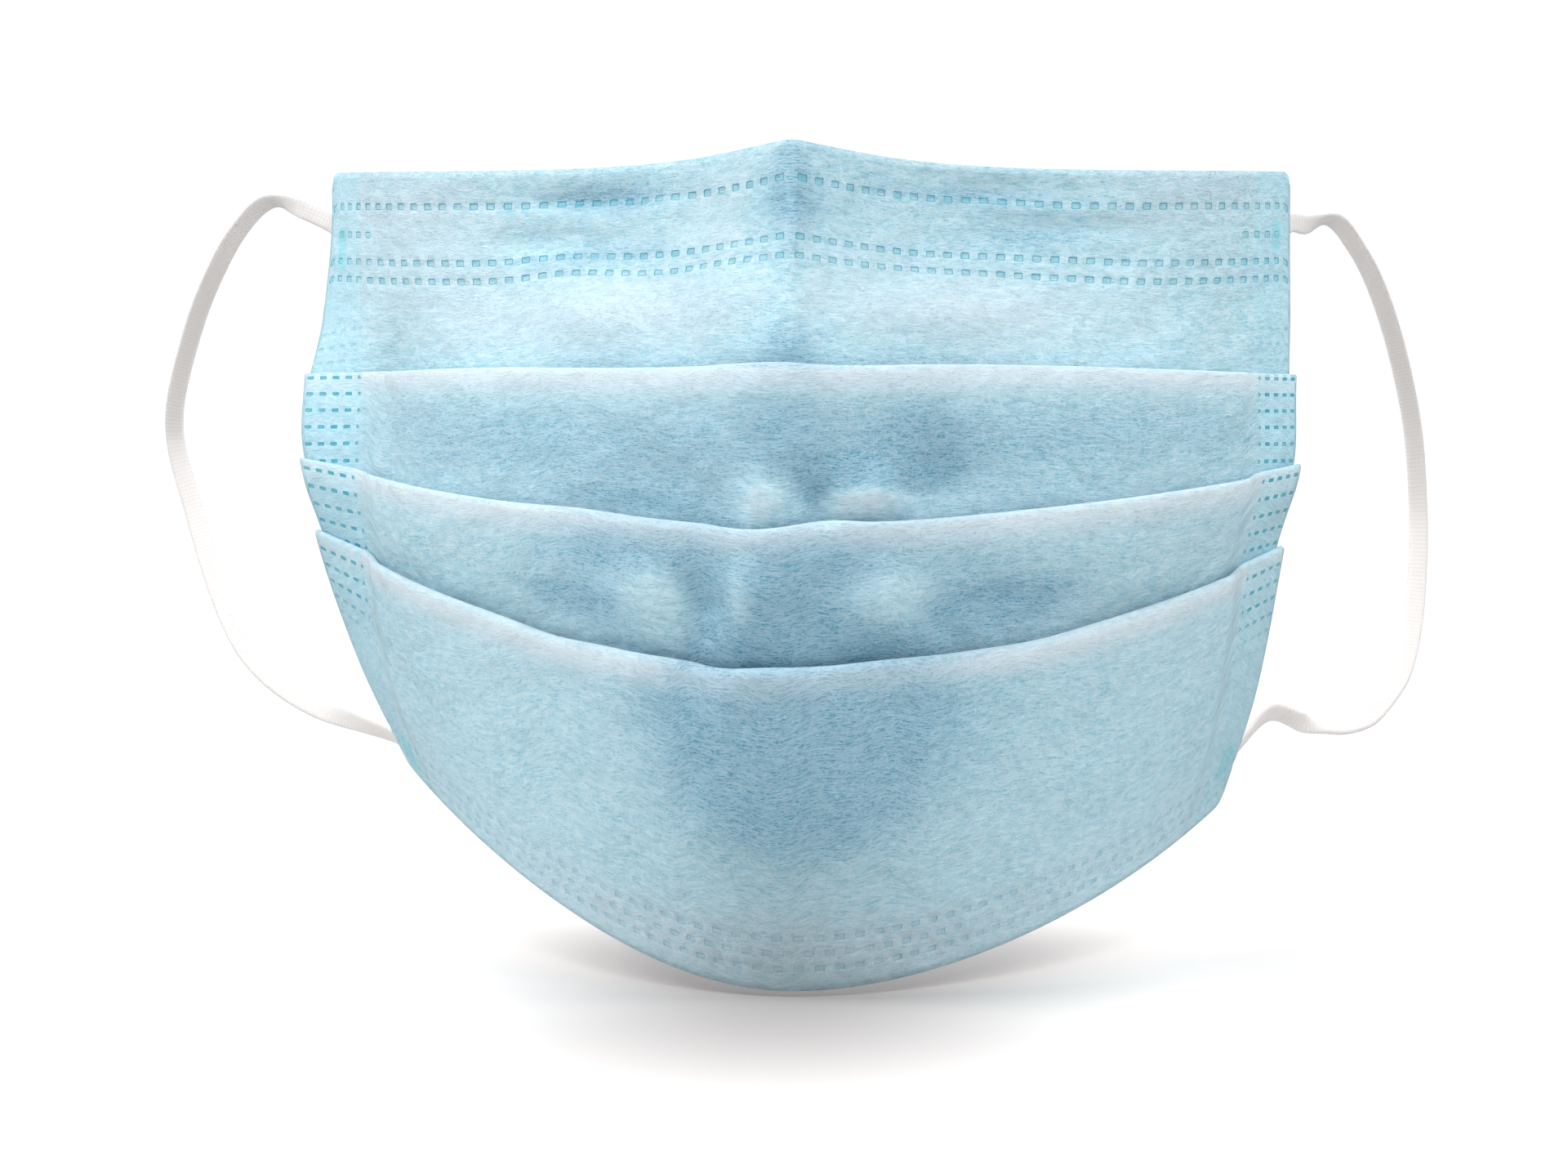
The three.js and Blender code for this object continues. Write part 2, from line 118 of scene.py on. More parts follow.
# Bulges and dents of the cloth, as round hills. across and wide: where a hill is and its half width, as
# shares of TO_SIDE. at and tall: the same down the form, in rows. high: how far it stands out, as a share of
# FACE_DEPTH.
HILL_COLUMNS = ("across", "at", "wide", "tall", "high")
BULGES = [
    (0.0, 0.3, 0.022, 0.5, 0.018),
    (-0.36, 0.74, 0.13, 0.14, 0.05),
    (-0.12, 0.7, 0.08, 0.16, 0.03),
    (0.27, 0.74, 0.15, 0.15, 0.05),
    (-0.42, 0.17, 0.13, 0.07, -0.026),
    (-0.46, 0.4, 0.12, 0.06, -0.022),
    (-0.26, 0.28, 0.04, 0.16, 0.018),
    (0.37, 0.12, 0.13, 0.06, -0.022),
    (0.5, 0.32, 0.14, 0.05, -0.02),
    (0.0, 1.35, 0.034, 0.5, 0.01),
    (-0.034, 1.86, 0.04, 0.16, 0.022),
    (0.051, 1.84, 0.03, 0.2, -0.03),
    (0.14, 1.82, 0.06, 0.16, 0.036),
    (0.26, 1.7, 0.055, 0.2, -0.036),
    (-0.2, 1.8, 0.09, 0.2, -0.018),
    (-0.25, 2.72, 0.055, 0.3, 0.032),
    (-0.14, 2.7, 0.036, 0.3, -0.044),
    (-0.06, 2.65, 0.034, 0.3, 0.028),
    (0.023, 2.75, 0.034, 0.2, -0.01),
    (0.16, 2.7, 0.06, 0.25, 0.036),
    (0.34, 2.78, 0.1, 0.2, -0.028),
    (0.0, 2.4, 0.057, 0.3, 0.01),
]

# Painted shade and painted highlight on the cloth, as hills of the same columns. A hill above 0 is painted
# shade, darker and more mottled, over the nose and in the dents. A hill below 0 is a painted highlight.
PAINTED_LIGHT_HILLS = [
    (0.0, 0.05, 0.02, 0.06, 0.5),
    (0.0, 0.15, 0.036, 0.08, 0.5),
    (0.0, 0.32, 0.055, 0.12, 0.95),
    (0.0, 0.56, 0.022, 0.14, 0.4),
    (0.0, 0.86, 0.072, 0.13, 0.8),
    (-0.36, 0.18, 0.15, 0.08, 0.85),
    (-0.38, 0.47, 0.13, 0.06, 0.6),
    (0.34, 0.17, 0.15, 0.06, 0.75),
    (0.44, 0.38, 0.14, 0.06, 0.6),
    (-0.3, 0.72, 0.26, 0.15, -0.6),
    (0.32, 0.72, 0.28, 0.15, -0.6),
    (-0.15, 0.42, 0.1, 0.06, -0.4),
    (-0.25, 0.97, 0.35, 0.05, 0.4),
    (0.35, 0.97, 0.4, 0.05, 0.4),
    (-0.75, 0.25, 0.22, 0.3, -0.5),
    (-0.15, 0.2, 0.1, 0.1, -0.4),
    (0.75, 0.15, 0.2, 0.2, -0.35),
    (-0.7, 0.72, 0.2, 0.2, -0.3),
    (-0.3, 1.5, 0.38, 0.36, 0.6),
    (0.4, 1.48, 0.36, 0.36, 0.52),
    (0.0, 1.32, 0.07, 0.3, 0.4),
    (0.12, 1.64, 0.09, 0.1, 1.1),
    (0.22, 1.55, 0.08, 0.3, 0.9),
    (0.13, 1.87, 0.09, 0.1, -1.4),
    (-0.04, 1.87, 0.035, 0.16, -1.1),
    (0.05, 1.82, 0.025, 0.14, 0.9),
    (-0.25, 1.85, 0.14, 0.08, 0.5),
    (0.0, 2.45, 0.4, 0.5, 1.0),
    (-0.26, 2.3, 0.15, 0.25, 0.45),
    (-0.125, 2.68, 0.03, 0.22, 1.1),
    (0.03, 2.5, 0.06, 0.3, 0.4),
    (0.38, 2.8, 0.12, 0.12, 1.0),
    (-0.38, 2.8, 0.1, 0.1, 0.8),
    (-0.2, 2.66, 0.065, 0.3, -0.9),
    (-0.065, 2.6, 0.025, 0.3, -0.8),
    (0.16, 2.64, 0.09, 0.24, -0.8),
    (0.1, 3.2, 0.5, 0.45, 0.4),
    (0.02, 3.16, 0.16, 0.27, 2.0),
    (-0.72, 1.5, 0.2, 0.35, 0.3),
    (0.78, 1.5, 0.2, 0.4, 0.3),
    (0.0, 3.88, 0.7, 0.16, -0.5),
]

# Embossed dots of the hems, in millimetres of cloth.
DOT_COUNT = 64
DOT_PITCH = SHEET_WIDTH / DOT_COUNT
DOT_WIDE = 1.25
DOT_TALL = 0.9
DOT_DEPTH = 0.09
DOT_EDGE = 0.2
TOP_DOT_ROWS = (5.1, 13.4, 16.2)
BOTTOM_DOT_ROWS = (8.6, 6.1, 3.6)

# A short row of dots that seals the top hem at each side.
SEAL_ROW = 9.3
SEAL_FROM = 74.0
SEAL_TO = 84.0

# The dashes that weld the pleats together in the side bands. A panel's rows are counted from the fold at its
# top, the first panel's from the fold at its bottom. first: where its first row is. strength: how dark it is.
DASH_PITCH = 2.25
DASH_ROW_PITCH = 2.5
DASH_ROWS_FROM = (-10.0, -8.0)  # the first panel has no dashes above this run over its fold
DASH_WIDE = 1.1
DASH_TALL = 0.45
DASH_PANEL_COLUMNS = ("first", "strength")
DASH_PANELS = [(0.0, 0.3), (0.7, 1.0), (1.2, 1.0), (2.1, 0.9)]
DASH_FADE = (6.0, 17.0)  # over this run down the last panel its dashes fade away

# Where the loops' welds press through to the front, in millimetres. down: below the top edge, or where it is
# below 0, above the bottom edge. wide and tall: half the mark's size.
PATCH_COLUMNS = ("across", "down", "wide", "tall")
PATCHES = [
    (-83.2, 11.6, 1.3, 3.2),
    (83.2, 9.4, 1.3, 2.3),
    (-81.0, -5.2, 2.6, 3.4),
    (83.0, -10.6, 2.2, 3.0),
]

# A fold's edge carries a painted highlight over this reach below it, and this strong on the round of the edge
# itself.
CREASE_REACH = 2.3
CREASE_TOP = 0.6

# How much lower each fold's edge lies where its pleat opens, beside the side band.
FOLD_STEPS = (0.0, 0.0, 0.6, 0.9, 0.0)

# How a fold's edge wanders. across and wide: where, and its half width, as shares of TO_SIDE. drop: how far
# down, in millimetres.
FOLD_WAVE_COLUMNS = ("fold", "across", "wide", "drop")
FOLD_WAVES = [
    (1, -0.32, 0.2, 0.5),
    (1, -0.03, 0.08, -0.5),
    (2, -0.05, 0.06, 0.6),
    (2, 0.06, 0.05, -0.7),
    (2, -0.35, 0.1, -0.4),
    (3, -0.1, 0.05, 0.5),
    (3, 0.15, 0.08, -0.4),
    (3, -0.4, 0.08, 0.5),
    (3, 0.42, 0.1, 0.4),
]

CORNER = 2.2  # radius of the sheet's corners
CORNER_REACH = 3.0  # the rows within this much of the edge make room for it

# Ear loops, along the frame's own routes.
BAND_WIDTH = 3.0
BAND_THICKNESS = 0.8
BAND_ROUND = 0.8  # its edges are round over this share of half its thickness
BAND_POINTS = 6
BAND_CLEARANCE = 0.05
LOOP_HEIGHT = 80.0
LOOP_REACH = 51.0
LOOP_SPREAD = 30.0

# Where a band lies against the sheet. inside: how far in from the side edge, as a share of SIDE_WELD.
# along: how far in from the top or bottom edge, as a share of that hem.
WELD_COLUMNS = ("inside", "along")
UPPER_WELD = [(0.9, 0.62), (0.55, 0.58), (0.2, 0.5), (-0.24, 0.42)]
LEFT_LOWER_WELD = [(1.2, 0.5), (0.75, 0.42), (0.3, 0.34), (-0.24, 0.3)]
RIGHT_LOWER_WELD = [(0.9, 1.2), (0.55, 1.15), (0.2, 1.1), (-0.24, 1.02)]

# A loop's way from its upper weld to its lower one. out, back and down: from the sheet's top corner, as
# shares of LOOP_SPREAD, LOOP_REACH and LOOP_HEIGHT. turned: how far the band's width has turned from upright,
# 0, to level, 1.
ROUTE_COLUMNS = ("out", "back", "down", "turned")
LEFT_ROUTE = [
    (0.2, 0.07, 0.06, 0.3),
    (0.37, 0.19, 0.048, 0.7),
    (0.59, 0.4, 0.1, 1),
    (0.77, 0.58, 0.18, 1),
    (0.95, 0.78, 0.29, 1),
    (1.1, 0.93, 0.445, 1),
    (1.11, 0.97, 0.52, 1),
    (1.01, 0.93, 0.645, 1),
    (0.82, 0.76, 0.81, 1),
    (0.63, 0.58, 0.91, 1),
    (0.43, 0.42, 0.965, 1),
    (0.21, 0.29, 1, 0.8),
    (-0.06, 0.15, 1.02, 0.4),
]
RIGHT_ROUTE = [
    (0.09, 0.07, 0.094, 0.3),
    (0.23, 0.19, 0.083, 0.7),
    (0.39, 0.4, 0.14, 1),
    (0.51, 0.58, 0.21, 1),
    (0.64, 0.76, 0.33, 1),
    (0.75, 0.91, 0.49, 1),
    (0.79, 0.97, 0.645, 1),
    (0.79, 0.95, 0.72, 1),
    (0.75, 0.84, 0.86, 1),
    (0.67, 0.69, 0.95, 1),
    (0.57, 0.56, 0.995, 1),
    (0.44, 0.42, 1.03, 1),
    (0.28, 0.29, 1.035, 0.8),
    (0.12, 0.18, 1.015, 0.5),
    (-0.05, 0.11, 0.99, 0.2),
]
RIB_PITCH = 0.66
RIB_DEPTH = 0.012
WALE_PITCH = 0.5
CURVE_SAMPLES = 60

# How finely the face form is worked out, how far its rows run past the half width, and a small step of cloth.
FORM_ROWS = 240
FORM_STEPS = 240
FURTHEST_SHARE = 1.2
BESIDE = 0.5

# How many layers deeper the sheet lies at its top edge, at each fold and at its bottom edge, so that its
# panels overlap like tiles and both hems lie on the form.
FOLD_LEANS = (0, -1, -3, -5, -6)


def smooth(x, start, end):
    t = np.clip((x - start) / (end - start), 0, 1)
    return t * t * (3 - 2 * t)


def lerp(a, b, t):
    return a + (b - a) * t


def row_at(names, table, at):
    """A table's columns at any row, on a smooth curve through the rows that it names."""
    rows = np.array(table)
    last = len(rows) - 1
    i = min(int(np.searchsorted(rows[1:-1, 0], at)), last - 1)
    a, b = rows[i], rows[i + 1]
    before, after = rows[max(i - 1, 0)], rows[min(i + 2, last)]
    span = b[0] - a[0]
    t = (at - a[0]) / span
    slope_a = (b - before) / (b[0] - before[0])
    slope_b = (after - a) / (after[0] - a[0])
    ends = (2 * t**3 - 3 * t**2 + 1) * a + (3 * t**2 - 2 * t**3) * b
    slopes = (t**3 - 2 * t**2 + t) * span * slope_a + (t**3 - t**2) * span * slope_b
    return dict(zip(names, ends + slopes))


def face_row(row, side):
    """Points of one row of the face form, walked outward from the middle."""
    share = np.linspace(0, FURTHEST_SHARE, FORM_STEPS + 1)
    from_ridge = np.hypot(share, row["ridge"]) - row["ridge"]
    fall = row["nose"] * (1 - np.exp(-from_ridge / row["spread"]))
    turn = row["turn"] * share**TURN_POWER
    shoulder = SHOULDER * np.minimum(share / WELD_SHARE, 1) ** SHOULDER_POWER
    shoulder += SHOULDER_RUN * np.maximum(share - WELD_SHARE, 0)
    if side < 0:
        turn = lerp(turn, shoulder, row["pressed"])
    back = fall + row["cheek"] * from_ridge + turn
    peak = row["peak"] * np.exp((PEAK_ROUND - np.hypot(share, PEAK_ROUND)) / PEAK_WIDTH)
    left = smooth(share, 0, 1) if side < 0 else 0 * share
    rise = row["rise"] * share ** row["bow"] + row["lift"] * left
    x = side * FACE_HALF * row["half"] * share * (1 - row["slim"] * left)
    y = FACE_DEPTH * (back - row["forward"]) - FRAME_CLOTH / 2 - HEM_EXTRA
    z = NOSE_SEAT + FACE_HEIGHT * (peak - row["drop"] + rise)
    return np.stack([x, y, z], 1)


def lengths(points):
    """Lengths used up along an array of points, on its first axis."""
    steps = np.linalg.norm(np.diff(points, axis=0), axis=-1)
    return np.concatenate([np.zeros((1,) + steps.shape[1:]), np.cumsum(steps, 0)])


def form_rows():
    """The form's rows, each with its two sides as points and the cloth used up to each point."""
    rows = []
    for n in range(FORM_ROWS + 1):
        at = n / FORM_ROWS * (FOLDS + 1)
        row = row_at(COLUMNS, ROWS, at) | row_at(TURN_COLUMNS, TURNS, at)
        sides = [face_row(row, side) for side in (-1, 1)]
        rows.append([(points, lengths(points)) for points in sides])
    return rows


FORM = form_rows()


def wrapped(across):
    """The form's points at signed lengths of cloth from the middle, as an array of rows by columns."""
    across = np.asarray(across, float)
    made = np.empty((FORM_ROWS + 1, len(across), 3))
    for n, sides in enumerate(FORM):
        for (points, used), mask in zip(sides, (across < 0, across >= 0)):
            for axis in range(3):
                made[n, mask, axis] = np.interp(np.abs(across[mask]), used, points[:, axis])
    return made


def normals_of(across):
    """The form's normals where wrapped() has its points."""
    points = wrapped(across)
    along = wrapped(across + BESIDE) - wrapped(across - BESIDE)
    fall = np.gradient(points, axis=0)
    normal = np.cross(fall, along)
    return normal / np.linalg.norm(normal, axis=-1, keepdims=True)


def hills(table, across, at):
    """The sum of a table's round hills at signed lengths across and rows down the form."""
    total = 0.0
    for values in table:
        hill = dict(zip(HILL_COLUMNS, values))
        sideways = (across / TO_SIDE - hill["across"]) / hill["wide"]
        updown = (at - hill["at"]) / hill["tall"]
        total = total + hill["high"] * np.exp(-(sideways**2) - updown**2)
    return total


class Column:
    """Columns of the sheet at signed lengths of cloth from the middle."""

    def __init__(self, across):
        self.across = np.asarray(across, float)
        self.normals = normals_of(self.across)
        self.rows = np.linspace(0, FOLDS + 1, FORM_ROWS + 1)
        bulge = FACE_DEPTH * hills(BULGES, self.across[None], self.rows[:, None])
        self.points = wrapped(self.across) + self.normals * bulge[..., None]
        self.down = lengths(self.points)
        fold_rows = [round(at * FORM_ROWS / (FOLDS + 1)) for at in range(FOLDS + 2)]
        self.folds = self.down[fold_rows]
        for values in FOLD_WAVES:
            wave = dict(zip(FOLD_WAVE_COLUMNS, values))
            off = (self.across / TO_SIDE - wave["across"]) / wave["wide"]
            self.folds[wave["fold"]] += wave["drop"] * np.exp(-(off**2))
        out = np.abs(self.across)
        release = TO_SIDE - SIDE_WELD - WELD_RELEASE
        opening = 1 - smooth(out, release, TO_SIDE - SIDE_WELD)
        self.folds = self.folds + np.outer(FOLD_STEPS, opening)
        self.middle = opening * np.maximum(0, 1 - (out / TO_SIDE) ** 2)
        self.pitch = CLOTH + LAYER_GAP + LAYER_OPENING * self.middle
        shortest = np.minimum(self.folds[2] - self.folds[1], self.folds[3] - self.folds[2])
        self.tuck = shortest * lerp(TUCK_SIDE, TUCK_MIDDLE, self.middle)

    def place(self, c, s, lift):
        """Points of column c at lengths s down the form and lifts off it."""
        leans = np.interp(s, self.folds[:, c], FOLD_LEANS)
        down = self.down[:, c]
        at = np.stack([np.interp(s, down, self.points[:, c, axis]) for axis in range(3)], 1)
        normal = np.stack([np.interp(s, down, self.normals[:, c, axis]) for axis in range(3)], 1)
        normal /= np.linalg.norm(normal, axis=1, keepdims=True)
        fall = self.points[1:, c] - self.points[:-1, c]
        first = fall[0] / np.linalg.norm(fall[0])
        final = fall[-1] / np.linalg.norm(fall[-1])
        at += np.minimum(s, 0)[:, None] * first + np.maximum(s - down[-1], 0)[:, None] * final
        off = lift + self.pitch[c] * leans + (FRAME_CLOTH - CLOTH) / 2
        return at + normal * off[:, None]


# Rows of the fine sheet. Each hem has rows at these lengths from its edge and round its dots. The rest of
# each panel has this many even steps, and so have each fold's arcs and the hidden layer between them.
TOP_HEM_STATIONS = (0, 1.0, 2.3, 3.6, 6.6, 8.0, 9.4, 10.8, 12.0)
BOTTOM_HEM_STATIONS = (0, 1.2, 2.4)
PANEL_STEPS = (17, 14, 14, 28)
ARC_STEPS = 6
HIDDEN_STEPS = 2


def dot_stations(rows):
    """Where a row of dots needs rows of the mesh: at its flat bottom and at its rim."""
    half, rim = DOT_TALL / 2 - DOT_EDGE / 2, DOT_TALL / 2 + DOT_EDGE / 2
    return sorted(row + step for row in rows for step in (-rim, -half, half, rim))


def panel_stations(k, top, bottom, end):
    """Lengths down the form of panel k's rows, from top to bottom."""
    if k == 0:
        head = np.array(sorted([*TOP_HEM_STATIONS, *dot_stations(TOP_DOT_ROWS)]))
        return np.concatenate([head, np.linspace(head[-1], bottom, PANEL_STEPS[0] + 1)[1:]])
    if k == FOLDS:
        tail = end - np.array(sorted([*BOTTOM_HEM_STATIONS, *dot_stations(BOTTOM_DOT_ROWS)], reverse=True))
        return np.concatenate([np.linspace(top, tail[0], PANEL_STEPS[k] + 1)[:-1], tail])
    return np.linspace(top, bottom, PANEL_STEPS[k] + 1)


def dot_distance(across, shift):
    """Distance across from the middle of the nearest dot in a row that is shifted by a share of the pitch."""
    share = across / DOT_PITCH + shift
    return np.abs(share - np.floor(share) - 0.5) * DOT_PITCH


def dot_depth(across, from_top, from_bottom):
    """1 in the flat bottom of a dot and 0 outside it."""
    in_line, staggered = dot_distance(across, 0), dot_distance(across, 0.5)
    deep = np.zeros(len(from_top))
    for row in TOP_DOT_ROWS:
        deep = np.maximum(deep, (in_line < DOT_WIDE / 2) & (np.abs(from_top - row) < DOT_TALL / 2))
    for i, row in enumerate(BOTTOM_DOT_ROWS):
        wide = staggered if i == 1 else in_line
        deep = np.maximum(deep, (wide < DOT_WIDE / 2) & (np.abs(from_bottom - row) < DOT_TALL / 2))
    return deep


def corner_trim(across):
    """How much shorter the sheet is at each end there, because its corners are round."""
    inside = min(max(abs(across) - (TO_SIDE - CORNER), 0), CORNER)
    return CORNER - math.sqrt(CORNER**2 - inside**2)


def column_rings(column, c):
    """Outer and inner points of one column of cloth, with what the finish needs to know at each."""
    folds, pitch, tuck = column.folds[:, c], column.pitch[c], column.tuck[c]
    end, radius, half = folds[-1], pitch / 2, CLOTH / 2
    s, lift, turn, crest_highlight, phase, strength = [], [], [], [], [], []

    def add(at, up, angle, mark, dash=0.0, strong=0.0):
        s.append(np.atleast_1d(at))
        for kept, value in ((lift, up), (turn, angle), (crest_highlight, mark), (phase, dash), (strength, strong)):
            kept.append(np.broadcast_to(value, s[-1].shape))

    top = 0.0
    for f in range(1, FOLDS + 2):
        layer = 2 * f - 2
        bottom = end if f > FOLDS else folds[f] + tuck - radius
        stations = panel_stations(f - 1, top, bottom, end)
        # near: the painted highlight below a fold's edge.
        near = np.exp(-(((stations - top) / CREASE_REACH) ** 2)) if f > 1 else 0 * stations
        below = stations - folds[max(f - 1, 1)]
        dashes = dict(zip(DASH_PANEL_COLUMNS, DASH_PANELS[f - 1]))
        fade = 1 - smooth(below, *DASH_FADE) if f > FOLDS else 1.0
        add(stations, layer * pitch, 0.0, near, below - dashes["first"], dashes["strength"] * fade)
        if f > FOLDS:
            break
        angles = np.linspace(0, math.pi, ARC_STEPS + 1)[1:-1]
        reach, rise = radius * np.sin(angles), radius * (1 - np.cos(angles))
        add(bottom + reach, layer * pitch + rise, angles, 0.0)
        top = folds[f] + radius
        add(np.linspace(bottom, top, HIDDEN_STEPS + 1), (layer + 1) * pitch, math.pi, 0.0)
        # The fold's rounded edge gets the painted highlight too.
        add(top - reach, (layer + 1) * pitch + rise, math.pi - angles, CREASE_TOP)
    kept = (s, lift, turn, crest_highlight, phase, strength)
    s, lift, turn, crest_highlight, phase, strength = (np.concatenate(each) for each in kept)
    trim = corner_trim(column.across[c])
    s = s + trim * np.maximum(0, 1 - s / CORNER_REACH) - trim * np.maximum(0, 1 - (end - s) / CORNER_REACH)
    middle = column.place(c, s, lift)
    steps = np.linalg.norm(np.diff(middle, axis=0), axis=1)
    cloth = np.concatenate([[0], np.cumsum(steps)])
    out_s, out_lift = -np.sin(turn) * half, np.cos(turn) * half
    deep = dot_depth(column.across[c], cloth, cloth[-1] - cloth)
    outer = column.place(c, s + out_s, lift + out_lift - DOT_DEPTH * deep)
    inner = column.place(c, s - out_s, lift - out_lift)
    rows = np.interp(s, column.down[:, c], column.rows)
    # marks: the distance from the bottom edge, the painted highlight along the folds' edges, and the painted
    # shade and painted highlight of the hills.
    marks = np.stack([cloth[-1] - cloth, crest_highlight, hills(PAINTED_LIGHT_HILLS, column.across[c], rows)], 1)
    dashes = np.stack([phase, strength, 0 * phase], 1)
    return outer, inner, cloth, marks, dashes


def sheet_columns():
    """Signed lengths across: columns at each dot's flat bottom, at its rim and between dots."""
    half, rim = DOT_WIDE / 2 - DOT_EDGE / 2, DOT_WIDE / 2 + DOT_EDGE / 2
    cells = (np.arange(DOT_COUNT) - DOT_COUNT / 2 + 0.5) * DOT_PITCH
    inside = (cells[:, None] + np.array([-rim, -half, half, rim, DOT_PITCH / 2])).ravel()
    return np.concatenate([[-TO_SIDE], inside])


def new_object(name, points, faces, attributes):
    """An object from points in millimetres, with a vector at each point for each attribute."""
    mesh = bpy.data.meshes.new(name)
    mesh.from_pydata((np.asarray(points) * MM).tolist(), [], faces)
    mesh.validate()
    mesh.shade_smooth()
    for key, values in attributes.items():
        attribute = mesh.attributes.new(key, "FLOAT_VECTOR", "POINT")
        attribute.data.foreach_set("vector", np.asarray(values, np.float32).ravel())
    piece = bpy.data.objects.new(name, mesh)
    bpy.context.scene.collection.objects.link(piece)
    return piece


def grid_faces(rings, count):
    """Quads between rings of count points each, which close on themselves."""
    r, i = np.meshgrid(np.arange(rings - 1), np.arange(count), indexing="ij")
    j = (i + 1) % count
    quads = [r * count + i, r * count + j, (r + 1) * count + j, (r + 1) * count + i]
    return np.stack(quads, -1).reshape(-1, 4)


def make_sheet():
    """The whole folded sheet: each column of cloth is a ring round its outer and its inner face."""
    column = Column(sheet_columns())
    rings, flat, marks, dashes = [], [], [], []
    for c, across in enumerate(column.across):
        outer, inner, cloth, mark, dash = column_rings(column, c)
        rings.append(np.concatenate([outer, inner[::-1]]))
        both = np.concatenate([cloth, cloth[::-1]])
        inside = np.repeat([0.0, 1.0], len(cloth))
        flat.append(np.stack([np.full(len(both), across), both, inside], 1))
        marks.append(np.concatenate([mark, mark[::-1]]))
        dashes.append(np.concatenate([dash, dash[::-1]]))
    count = len(rings[0])
    faces = grid_faces(len(rings), count).tolist()
    half = count // 2
    start = (len(rings) - 1) * count
    for i in range(half - 1):
        cap = (i, i + 1, count - 2 - i, count - 1 - i)
        faces.append(tuple(reversed(cap)))
        faces.append(tuple(start + k for k in cap))
    attributes = {"flat": flat, "marks": marks, "dashes": dashes}
    attributes = {key: np.concatenate(values) for key, values in attributes.items()}
    return new_object("mask_sheet", np.concatenate(rings), faces, attributes)


def with_ends(stations):
    """Stations with one more before the first and one after the last, which the curve's ends need."""
    stations = np.asarray(stations, float)
    return np.vstack([2 * stations[0] - stations[1], stations, 2 * stations[-1] - stations[-2]])


def curve_through(points, widths):
    """Points and widths on a centripetal curve through the stations."""
    path, wide = with_ends(points), with_ends(widths)
    made, made_wide = [], []
    for k in range(len(points) - 1):
        for source, target in ((path, made), (wide, made_wide)):
            p0, p1, p2, p3 = source[k : k + 4]
            stretches = ((p0, p1), (p1, p2), (p2, p3))
            d0, d1, d2 = (max(np.linalg.norm(b - a) ** 0.5, 1e-4) for a, b in stretches)
            t1 = ((p1 - p0) / d0 - (p2 - p0) / (d0 + d1) + (p2 - p1) / d1) * d1
            t2 = ((p2 - p1) / d1 - (p3 - p1) / (d1 + d2) + (p3 - p2) / d2) * d1
            t = np.linspace(0, 1, CURVE_SAMPLES, endpoint=k == len(points) - 2)[:, None]
            ends = (2 * t**3 - 3 * t**2 + 1) * p1 + (3 * t**2 - 2 * t**3) * p2
            target.append(ends + (t**3 - 2 * t**2 + t) * t1 + (t**3 - t**2) * t2)
    return np.concatenate(made), np.concatenate(made_wide)


def welded_end(weld, side, bottom):
    """The band's end against the inside of the sheet, as points and directions of its width."""
    made = []
    for values in weld:
        place = dict(zip(WELD_COLUMNS, values))
        column = Column([side * (TO_SIDE - place["inside"] * SIDE_WELD)])
        down = column.folds[-1, 0] - place["along"] * BOTTOM_HEM if bottom else place["along"] * TOP_HEM
        s = np.array([down])
        layer = 2 * FOLDS if bottom else 0
        lift = layer * column.pitch[0] - CLOTH / 2 - BAND_CLEARANCE - BAND_THICKNESS / 2
        here, below = column.place(0, s, lift)[0], column.place(0, s + BESIDE, lift)[0]
        width = here - below if bottom else below - here
        made.append((here, width / np.linalg.norm(width)))
    return made


def band_section():
    """Offsets along the width and the thickness of a band with rounded edges."""
    half, thick = BAND_WIDTH / 2, BAND_THICKNESS / 2
    edge = thick * BAND_ROUND
    flat = np.linspace(-(half - edge), half - edge, BAND_POINTS)
    angles = np.linspace(-math.pi / 2, math.pi / 2, BAND_POINTS)[1:-1]
    right = np.stack([flat[-1] + edge * np.cos(angles), thick * np.sin(angles)], 1)
    under = np.stack([flat, np.full(BAND_POINTS, -thick)], 1)
    over = np.stack([flat[::-1], np.full(BAND_POINTS, thick)], 1)
    left = right[::-1] * (-1, 1)
    return np.concatenate([under, right, over, left])


